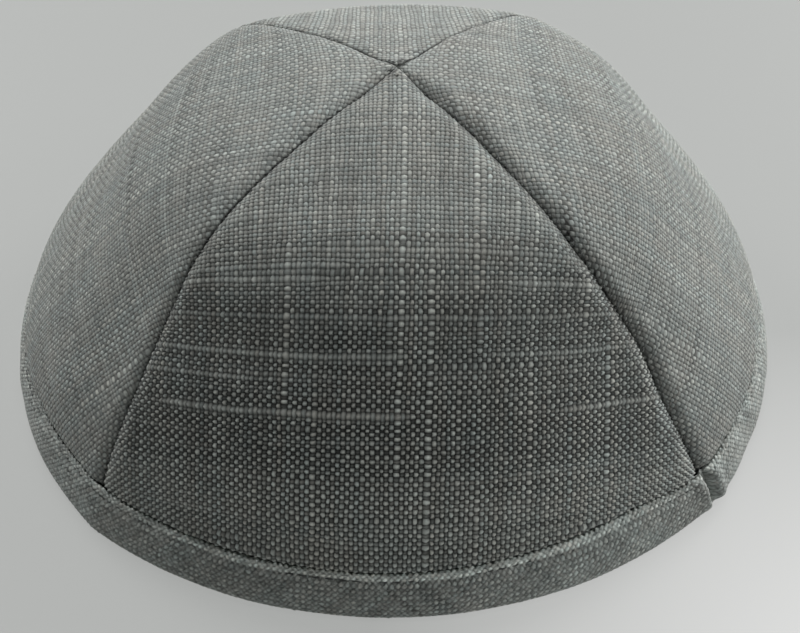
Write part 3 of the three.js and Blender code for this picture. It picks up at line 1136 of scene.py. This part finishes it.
@dataclass
class Stitching:
    """The threads that show: a row of stitches in the binding's valley, and bars across the seams.

    row_turns is where the row starts and ends, in degrees on from the binding's join. A bar across a
    seam slants by so many of the seam's samples.
    """

    name: str = "stitches"
    thread_radius: float = 0.14
    stitch: float = 1.5
    pitch: float = 2.4
    seam_pitch: float = 2.4
    ladder: float = 0.7
    row_inset: float = 0.22
    seam_depth: float = 0.75
    seam_heights: tuple[float, float] = (11.5, 60.8)
    row_turns: tuple[float, float] = (2.0, 358.0)

    ROW_SAMPLES = 2200
    SEAM_SAMPLES = 1500
    LEAST_RADIUS = 3.0
    SLANT = 8
    ROW_START = 0.5
    SEAM_START = 1.0

    def build(self, dome: Dome, material: bpy.types.Material) -> bpy.types.Object:
        """Place every stitch, and make them one piece.

        Args:
            dome: the cap that they are sewn in.
            material: the thread's finish.

        Returns:
            The finished piece.
        """
        bars = self._row_bars(dome) + self._seam_bars(dome)
        points, faces = self._bar_template()
        mesh = bpy.data.meshes.new(self.name)
        placed = [self._place(points, start, end) for start, end in bars]
        corners = np.concatenate([faces + k * len(points) for k in range(len(bars))])
        mesh.from_pydata((np.concatenate(placed) * MM).tolist(), [], corners.tolist())
        mesh.update()
        piece = bpy.data.objects.new(self.name, mesh)
        bpy.context.scene.collection.objects.link(piece)
        finish_piece(piece, material)
        return piece

    @staticmethod
    def _bar_template() -> tuple[Array, Array]:
        """One thread: a six-sided bar with domed ends, one unit round and one unit long."""
        clear_selection()
        bpy.ops.mesh.primitive_uv_sphere_add(segments=6, ring_count=4, radius=1)
        ball = bpy.context.active_object
        bpy.ops.object.mode_set(mode="EDIT")
        bpy.ops.mesh.quads_convert_to_tris()
        bpy.ops.object.mode_set(mode="OBJECT")
        points = np.array([v.co[:] for v in ball.data.vertices])
        faces = np.array([p.vertices[:] for p in ball.data.polygons])
        bpy.data.objects.remove(ball, do_unlink=True)
        return points, faces

    def _place(self, points: Array, start: Array, end: Array) -> Array:
        """Stretch the template between two ends."""
        along = end - start
        length = np.linalg.norm(along)
        along = along / length
        side = np.cross(along, [0.0, 0.0, 1.0])
        side = side / np.linalg.norm(side)
        up = np.cross(side, along)
        reach = np.sign(points[:, 2]) * (length / 2 - self.thread_radius)
        middle = (start + end) / 2
        return (
            middle
            + np.outer(points[:, 0] * self.thread_radius, side)
            + np.outer(points[:, 1] * self.thread_radius, up)
            + np.outer(points[:, 2] * self.thread_radius + reach, along)
        )

    def _row_bars(self, dome: Dome) -> list[tuple[Array, Array]]:
        """The stitches that hold the binding, in its valley below the upper edge."""
        azimuth = JOIN_AZIMUTH + np.linspace(*self.row_turns, self.ROW_SAMPLES)
        inset = np.full_like(azimuth, self.row_inset)
        line = dome.rim_point(azimuth, inset, binding_top(azimuth) - VALLEY_BELOW)
        return self._along(line)

    def _seam_bars(self, dome: Dome) -> list[tuple[Array, Array]]:
        """The threads that show across the gores' seams."""
        bars: list[tuple[Array, Array]] = []
        height = np.linspace(*self.seam_heights, self.SEAM_SAMPLES)
        level = dome.level_at(height)
        depth = np.full_like(height, self.seam_depth)
        aside = np.degrees(self.ladder / 2 / np.maximum(dome.read(dome.radii, level), self.LEAST_RADIUS))
        for index in range(len(SEAMS)):
            azimuth = dome.seam_azimuth(index, height)
            before, turned = (index - 1, 0) if index else (len(SEAMS) - 1, 360)
            left = dome.point(before, azimuth - aside + turned, level, depth)
            right = dome.point(index, azimuth + aside, level, depth)
            length = lengths_along(dome.point(index, azimuth, level, depth))
            for place in np.arange(self.SEAM_START, length[-1], self.seam_pitch):
                k = int(np.searchsorted(length, place))
                bars.append((left[k], right[min(k + self.SLANT, len(right) - 1)]))
        return bars

    def _along(self, line: Array) -> list[tuple[Array, Array]]:
        """The ends of stitches of one length, at one pitch along a line."""
        length = lengths_along(line)
        starts = np.arange(self.ROW_START, length[-1] - self.stitch, self.pitch)
        ends = [
            np.stack([np.interp(places, length, line[:, axis]) for axis in range(3)], -1)
            for places in (starts, starts + self.stitch)
        ]
        return list(zip(*ends))


class Wire:
    """A shader socket that can be used in Python expressions."""

    def __init__(self, graph: "Graph", socket: bpy.types.NodeSocket) -> None:
        """Wrap an output socket of a graph."""
        self.graph, self.socket = graph, socket

    def math(self, operation: str, *others: "Wire | float", clamp: bool = False) -> "Wire":
        """Add a Math node on this value.

        Args:
            operation: the node's operation.
            others: its second and third values.
            clamp: whether the result is kept from 0 to 1.

        Returns:
            The node's result.
        """
        inputs = dict(enumerate((self, *others)))
        settings = {"operation": operation, "use_clamp": clamp}
        return self.graph.node("ShaderNodeMath", settings, inputs)["Value"]

    def clamped(self) -> "Wire":
        """This, kept from 0 to 1."""
        return self.math("ADD", 0.0, clamp=True)

    def __add__(self, other: "Wire | float") -> "Wire":
        """This plus another."""
        return self.math("ADD", other)

    __radd__ = __add__

    def __mul__(self, other: "Wire | float") -> "Wire":
        """This times another."""
        return self.math("MULTIPLY", other)

    __rmul__ = __mul__

    def __sub__(self, other: "Wire | float") -> "Wire":
        """This less another."""
        return self.math("SUBTRACT", other)

    def __rsub__(self, other: float) -> "Wire":
        """A number less this."""
        return (self * -1.0) + other

    def __truediv__(self, other: "Wire | float") -> "Wire":
        """This over another."""
        return self.math("DIVIDE", other)


class Outlets:
    """A node's outputs by name."""

    def __init__(self, graph: "Graph", made: bpy.types.Node) -> None:
        """Wrap a node of a graph."""
        self.graph, self.made = graph, made

    def __getitem__(self, name: str) -> Wire:
        """The output of that name."""
        return Wire(self.graph, self.made.outputs[name])


class Graph:
    """A material's node tree."""

    def __init__(self, name: str) -> None:
        """Make an empty material of that name."""
        self.material = bpy.data.materials.new(name)
        self.material.use_nodes = True
        self.tree = self.material.node_tree
        self.tree.nodes.clear()

    def node(self, kind: str, settings: dict | None = None, inputs: dict | None = None) -> Outlets:
        """Add a node.

        Args:
            kind: its type.
            settings: its properties.
            inputs: its sockets' values or links, by name or number.

        Returns:
            The node's outputs.
        """
        made = self.tree.nodes.new(kind)
        for name, value in (settings or {}).items():
            setattr(made, name, value)
        for name, value in (inputs or {}).items():
            socket = made.inputs[name]
            if isinstance(value, Wire):
                self.tree.links.new(value.socket, socket)
            else:
                socket.default_value = value
        return Outlets(self, made)

    def mix(self, share: "Wire | float", low: "Wire | Colour", high: "Wire | Colour") -> Wire:
        """Mix two colours."""
        low, high = ((*c, 1.0) if isinstance(c, tuple) else c for c in (low, high))
        settings = {"data_type": "RGBA", "blend_type": "MIX"}
        made = self.node("ShaderNodeMix", settings, {0: share, 6: low, 7: high})
        return Wire(self, made.made.outputs[2])

    def shade(self, colour: Wire, by: Wire) -> Wire:
        """Make a colour lighter or darker by a factor."""
        inputs = {0: colour, 1: self.vector(by, by, by)}
        return self.node("ShaderNodeVectorMath", {"operation": "MULTIPLY"}, inputs)["Vector"]

    def noise(self, vector: Wire, scale: float, detail: float = 2.0) -> Wire:
        """Noise from 0 to 1 at a place."""
        inputs = {"Vector": vector, "Scale": scale, "Detail": detail}
        return self.node("ShaderNodeTexNoise", {}, inputs)["Fac"]

    def body(self) -> Wire:
        """The place in the object's own coordinates."""
        return self.node("ShaderNodeTexCoord")["Object"]

    def vector(self, x: Wire, y: Wire, z: "Wire | float" = 0.0) -> Wire:
        """A vector of three numbers."""
        return self.node("ShaderNodeCombineXYZ", {}, {"X": x, "Y": y, "Z": z})["Vector"]

    def bump(self, height: Wire, strength: float, distance: float) -> Wire:
        """The normal of a relief that is so many millimetres high."""
        inputs = {"Height": height, "Strength": strength, "Distance": distance * MM}
        return self.node("ShaderNodeBump", {}, inputs)["Normal"]

    def finish(self, inputs: dict) -> bpy.types.Material:
        """Link a surface with these values to the output."""
        surface = self.node("ShaderNodeBsdfPrincipled", {}, inputs)["BSDF"]
        self.node("ShaderNodeOutputMaterial", {}, {"Surface": surface})
        return self.material


@dataclass(frozen=True)
class ClothFinish:
    """Slubby yarn-dyed plain weave, with painted highlights on the yarn tops and painted shade in the
    gaps between the yarns.

    TONE, FIBRE and NUB are the slope and start of a factor on the colour. CREST is the height that
    a yarn's painted highlight begins at, how fast it comes, and its power; below it the colour darkens
    towards the cavity share, painted shade in the weave's low places. RELIEF is the yarns' share,
    the fibres' share and the height of both in millimetres. TWIST is how fine the fibres are across a
    yarn, how far they slant, and how fine they are along it.
    """

    name: str
    yarn: Colour
    cool: Colour
    warm: Colour
    weft_share: float = 0.9
    cavity_painted_shade: float = 0.26
    bump: float = 0.85
    fuzz: float = 0.15

    EDGE = 6.0
    TINTED = 0.42
    HUE_CONTRAST = 1.6
    PATCH_SCALE = 110.0
    PATCH_HUE = 0.8
    CREST = (0.55, 1.15, 1.3)
    TONE = (1.6, 0.2)
    FIBRE = (0.5, 0.75)
    NUB = (0.26, 0.87)
    LINT_SCALE = 1500.0
    RELIEF = (0.5, 0.14, 0.36)
    TWIST = (7.0, 1.5, 1.2)

    def material(self) -> bpy.types.Material:
        """Build the material from the yarn map, whose numbers are whole at the yarns' middles.

        Returns:
            The material.
        """
        g = Graph(self.name)
        place = g.node("ShaderNodeUVMap", {"uv_map": YARN_MAP})["UV"]
        split = g.node("ShaderNodeSeparateXYZ", {}, {"Vector": place})
        across, along = split["X"], split["Y"]
        warp_number, weft_number = across.math("ROUND"), along.math("ROUND")
        over = 1.0 - (warp_number + weft_number).math("FLOORED_MODULO", 2.0) * 2.0
        warp_high = self._yarn_height(across - warp_number, along - weft_number, over)
        weft_high = self._yarn_height(along - weft_number, across - warp_number, over * -1.0)
        height = warp_high.math("MAXIMUM", weft_high)
        shows_warp = ((warp_high - weft_high) * self.EDGE + 0.5).clamped()
        fibre = self._fibre(g, across, along, shows_warp)
        crossing = g.vector(warp_number, weft_number, shows_warp)
        nub = g.node("ShaderNodeTexWhiteNoise", {}, {"Vector": crossing})["Value"]
        hue, tone = self._hue_and_tone(g, shows_warp)
        tint = g.mix(((hue - 0.5) * self.HUE_CONTRAST + 0.5).clamped(), self.cool, self.warm)
        # painted highlight on the yarns' tops and painted shade in the weave's low places: the colour
        # darkens with depth
        low, rise, power = self.CREST
        painted_crest_light = ((height - low) * rise).clamped().math("POWER", power)
        depth = painted_crest_light * (1.0 - self.cavity_painted_shade) + self.cavity_painted_shade
        run_tone = shows_warp * (1.0 - self.weft_share) + self.weft_share
        lint = g.noise(g.body(), self.LINT_SCALE, 3.0) * (2.0 * self.fuzz) + (1.0 - self.fuzz)
        shade = depth * run_tone * lint
        for value, (slope, start) in ((tone, self.TONE), (fibre, self.FIBRE), (nub, self.NUB)):
            shade = shade * (value * slope + start)
        yarn_relief, fibre_relief, relief = self.RELIEF
        return g.finish(
            {
                "Base Color": g.shade(g.mix(self.TINTED, self.yarn, tint), shade),
                "Normal": g.bump(height * yarn_relief + fibre * fibre_relief, self.bump, relief),
                "Roughness": 0.8,
                "Specular IOR Level": 0.3,
                "Sheen Weight": 0.15,
                "Sheen Roughness": 0.5,
            }
        )

    def _hue_and_tone(self, g: Graph, shows_warp: Wire) -> tuple[Wire, Wire]:
        """The hue and tone of whichever yarn shows, the hue with soft patches."""
        yarn = g.node("ShaderNodeAttribute", {"attribute_name": YARN_ATTRIBUTE})
        parts = g.node("ShaderNodeSeparateColor", {}, {"Color": yarn["Color"]})
        shows_weft = 1.0 - shows_warp
        patch = (g.noise(g.body(), self.PATCH_SCALE) - 0.5) * self.PATCH_HUE
        hue = parts["Red"] * shows_warp + parts["Green"] * shows_weft + patch
        return hue, parts["Blue"] * shows_warp + yarn["Alpha"] * shows_weft

    @staticmethod
    def _yarn_height(beside: Wire, along: Wire, over: Wire) -> Wire:
        """A yarn's rounded top, which rises where the yarn is over and sinks where it is under."""
        flat = beside / 0.5
        rounded = (1.0 - flat * flat).math("MAXIMUM", 0.0).math("SQRT")
        return over * (along * math.pi).math("COSINE") * 0.5 + rounded

    def _fibre(self, g: Graph, across: Wire, along: Wire, shows_warp: Wire) -> Wire:
        """Twisted fibres that run along whichever yarn shows."""
        fine, slant, long = self.TWIST
        warp = g.noise(g.vector(across * fine + along * slant, along * long), 1.0, 3.0)
        weft = g.noise(g.vector(across * long, along * fine + across * slant), 1.0, 3.0)
        return warp * shows_warp + weft * (1.0 - shows_warp)


@dataclass(frozen=True)
class ThreadFinish:
    """Dark sewing thread."""

    name: str
    colour: Colour
    twist_scale: float = 2600.0
    darker: float = 0.6
    bump: float = 0.4
    relief: float = 0.08

    def material(self) -> bpy.types.Material:
        """Build the material."""
        g = Graph(self.name)
        twist = g.noise(g.body(), self.twist_scale, 1.0)
        dark = tuple(c * self.darker for c in self.colour)
        return g.finish(
            {
                "Base Color": g.mix(twist, dark, self.colour),
                "Normal": g.bump(twist, self.bump, self.relief),
                "Roughness": 0.7,
            }
        )


@dataclass(frozen=True)
class TableFinish:
    """A pale table top that glows a little, painted light which keeps its shadows faint, and glows more
    at a bright place, a painted pool of light.
    """

    name: str
    colour: Colour = (0.06, 0.062, 0.06)
    glow: Colour = (0.37, 0.378, 0.37)
    bright_glow: Colour = (0.76, 0.76, 0.755)
    bright_place: tuple[float, float, float] = (0.1, -0.115, 0.0)
    bright_reach: float = 0.11
    bright_ease: float = 0.3
    cloud_scale: float = 9.0
    cloud_light: float = 1.06

    def material(self) -> bpy.types.Material:
        """Build the material."""
        g = Graph(self.name)
        body = g.body()
        light = tuple(c * self.cloud_light for c in self.colour)
        cloud = g.noise(body, self.cloud_scale, 3.0)
        places = {0: body, 1: self.bright_place}
        distance = g.node("ShaderNodeVectorMath", {"operation": "DISTANCE"}, places)["Value"]
        near = (1.0 - distance / self.bright_reach).clamped().math("SMOOTH_MIN", 1.0, self.bright_ease)
        return g.finish(
            {
                "Base Color": g.mix(cloud, self.colour, light),
                "Roughness": 0.6,
                "Specular IOR Level": 0.2,
                "Emission Color": g.mix(near, self.glow, self.bright_glow),
                "Emission Strength": 1.0,
            }
        )


@dataclass(frozen=True)
class Viewpoint:
    """The photograph's camera: where it looks from, at what, and through which lens."""

    elevation: float = 42.36
    azimuth: float = -0.8
    roll: float = -0.34
    distance: float = 320.5
    target: tuple[float, float, float] = (1.7, 0.0, 0.5)
    lens: float = 65.4

    def build(self) -> bpy.types.Object:
        """Add the camera and look through it."""
        back, right = direction(self.azimuth, self.elevation), direction(self.azimuth + 90, 0.0)
        roll = math.radians(self.roll)
        up = back.cross(right)
        rolled_right = right * math.cos(roll) + up * math.sin(roll)
        rolled_up = up * math.cos(roll) - right * math.sin(roll)
        clear_selection()
        bpy.ops.object.camera_add()
        camera = bpy.context.active_object
        camera.name = "photograph_camera"
        camera.data.sensor_width = 36.0
        camera.data.lens = self.lens
        camera.data.clip_start = 0.01
        turned = Matrix((rolled_right, rolled_up, back)).transposed().to_4x4()
        place = (Vector(self.target) + back * self.distance) * MM
        camera.matrix_world = Matrix.Translation(place) @ turned
        bpy.context.scene.camera = camera
        return camera


@dataclass(frozen=True)
class Lamp:
    """A soft square light that looks at the cap, at an azimuth counted from the front to the right."""

    name: str
    azimuth: float
    elevation: float
    power: float
    distance: float = 1.5
    side: float = 0.8

    def build(self) -> None:
        """Add the light."""
        away = direction(self.azimuth, self.elevation)
        clear_selection()
        bpy.ops.object.light_add(type="AREA", location=away * self.distance)
        lamp = bpy.context.active_object
        lamp.name = self.name
        lamp.data.shape = "SQUARE"
        lamp.data.size = self.side
        lamp.data.energy = self.power
        lamp.rotation_euler = (-away).to_track_quat("-Z", "Y").to_euler()


@dataclass(frozen=True)
class Studio:
    """The pale table and the soft light round the cap: most of it from behind and the sides."""

    table_half: float = 2.5
    table: TableFinish = TableFinish("pale_table")
    lamps: tuple[Lamp, ...] = (
        Lamp("back_right", azimuth=135, elevation=25, power=19.0),
        Lamp("back_left", azimuth=225, elevation=25, power=13.9),
        Lamp("back_high", azimuth=180, elevation=56, power=9.0, side=0.5),
        Lamp("right_low", azimuth=90, elevation=25, power=9.0),
        Lamp("left_low", azimuth=270, elevation=25, power=1.0),
        Lamp("ceiling", azimuth=180, elevation=82, power=4.0, side=0.3),
        Lamp("front_low", azimuth=0, elevation=15, power=1.9, side=0.5),
    )

    def build(self) -> None:
        """Add the table, the world and the lights."""
        clear_selection()
        bpy.ops.mesh.primitive_plane_add(size=2 * self.table_half)
        floor = bpy.context.active_object
        floor.name = "table_top"
        floor.data.materials.append(self.table.material())
        world = bpy.data.worlds.new("dark_room")
        world.use_nodes = True
        world.node_tree.nodes["Background"].inputs["Strength"].default_value = 0.0
        bpy.context.scene.world = world
        bpy.context.scene.view_settings.view_transform = "Standard"
        for lamp in self.lamps:
            lamp.build()


# Each slub's place across, the start and end of its thick stretch, its swell and its tone
FRONT_WARP_SLUBS = (
    (0.5, 0, 86, 0.6, 0.5),
    (5.8, 46, 106, 0.85, 0.4),
    (13.3, 10, 53, 0.7, 0.5),
    (21.0, 30, 47, 0.5, 0.22),
    (24.5, 66, 92, 0.5, 0.22),
    (-20.0, 44, 76, 0.8, 0.4),
    (-14.5, 60, 100, 0.4, 0.22),
    (40.0, 62, 92, 0.7, 0.4),
)
FRONT_WEFT_SLUBS = (
    (45.6, -42, 38, 0.5, 0.4),
    (48.4, -46, -10, 0.7, 0.8),
    (50.6, -50, -14, 0.9, 0.9),
    (50.8, 21, 44, 0.9, 0.8),
    (57.6, -60, 60, 0.6, 0.6),
    (64.8, -60, 1, 0.7, 0.75),
    (64.8, 16, 42, 0.4, 0.45),
    (69.0, -60, -26, 0.6, 0.5),
    (74.6, -44, 2, 1.1, 1.0),
    (74.8, 31, 62, 0.9, 0.7),
    (85.6, -26, 10, 0.3, -0.3),
    (93.0, -26, 22, 0.4, -0.3),
)
FRONT_SLUBS = tuple(
    Slub(run, *row)
    for run, table in ((Run.WARP, FRONT_WARP_SLUBS), (Run.WEFT, FRONT_WEFT_SLUBS))
    for row in table
)
FRONT_WEAVE = Weave(
    weft_pitches=((50.0, 0.98), (58.0, 0.88), (70.0, 0.86), (78.0, 0.78), (92.0, 0.83)),
    even_until=49,
    fading=30,
    weft_sink=0.16,
    weft_shade=0.62,
    warp_light=0.56,
    deepening=0.95,
    gap_shade=0.23,
    mottle=0.05,
    foot_light=0.6,
    slub_chance=0.1,
)
RIGHT_WEAVE = Weave(warp_pitch=1.0, weft_pitches=((0.0, 0.82), (100.0, 0.82)))
LEFT_WEAVE = Weave(warp_pitch=0.98, weft_pitches=((0.0, 0.84), (100.0, 0.84)))
RIGHT_LIE = Lie(turn=-7.3, spread=2.3, sweep=1.8, fan=-3.2, crowd=-1.6)
LEFT_LIE = Lie(turn=5.2, spread=-0.9, bow=-1.2, fan=3.6, crowd=-2.0)

GORES = (
    Gore(
        "cloth_front",
        "panel_front",
        index=0,
        seed=11,
        lie=Lie(turn=1.0),
        droop=0.78,
        slubs=FRONT_SLUBS,
        weave=FRONT_WEAVE,
    ),
    Gore("cloth_right", "panel_right", index=1, seed=22, lie=RIGHT_LIE, weave=RIGHT_WEAVE),
    Gore("cloth_back", "panel_back", index=2, seed=33, lie=Lie(turn=0.6)),
    Gore("cloth_left", "panel_left", index=3, seed=44, lie=LEFT_LIE, weave=LEFT_WEAVE),
)


def build_cap() -> None:
    """Build the gores, the binding and the stitches, in their finishes."""
    gore_cloth = ClothFinish(
        "gore_cloth_weave",
        yarn=(0.315, 0.332, 0.314),
        cool=(0.266, 0.32, 0.307),
        warm=(0.345, 0.333, 0.288),
    ).material()
    binding_cloth = ClothFinish(
        "binding_weave",
        yarn=(0.375, 0.4, 0.38),
        cool=(0.32, 0.385, 0.365),
        warm=(0.405, 0.395, 0.35),
        cavity_painted_shade=0.55,
        bump=0.6,
        fuzz=0.6,
    ).material()
    thread = ThreadFinish("sewing_thread", (0.06, 0.065, 0.062)).material()
    dome = Dome()
    for gore in GORES:
        gore.build(dome, gore_cloth)
    Binding().build(dome, binding_cloth)
    Stitching().build(dome, thread)


def main() -> None:
    """Build the kippah and its setting."""
    logging.basicConfig(level=logging.INFO, format="%(message)s")
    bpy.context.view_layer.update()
    Viewpoint().build()
    build_cap()
    Studio().build()


if __name__ == "__main__":
    main()
